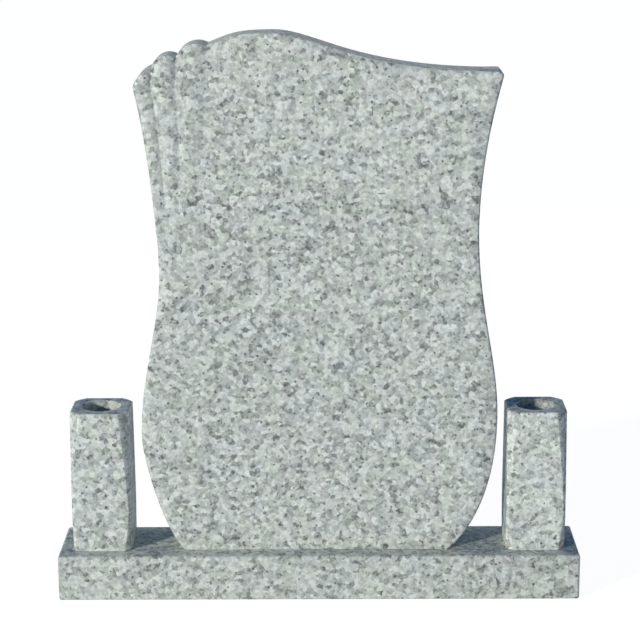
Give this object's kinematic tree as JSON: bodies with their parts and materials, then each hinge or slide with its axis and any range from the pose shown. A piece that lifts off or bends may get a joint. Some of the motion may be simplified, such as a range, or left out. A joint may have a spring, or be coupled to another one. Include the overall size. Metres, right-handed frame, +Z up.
{
  "type": "upright headstone",
  "caption": "Upright grey granite headstone with waisted sides, an ogee top and carved folds, on a plinth with square flower vases.",
  "frame": {"origin": "centre of the plinth's underside, which stands on the ground", "axes": "+Z up, +X to the right seen from the front, -Y out of the headstone's face"},
  "size_m": [0.9, 0.155, 0.9716],
  "materials": {
    "headstone_granite": "polished light grey speckled granite",
    "plinth_granite": "polished light grey speckled granite, sawn underneath",
    "vase_granite": "polished light grey speckled granite, drilled bore"
  },
  "bodies": {
    "root": {"plinth": "plinth_granite", "headstone": "headstone_granite", "vase_left": "vase_granite", "vase_right": "vase_granite"}
  },
  "joints": []
}
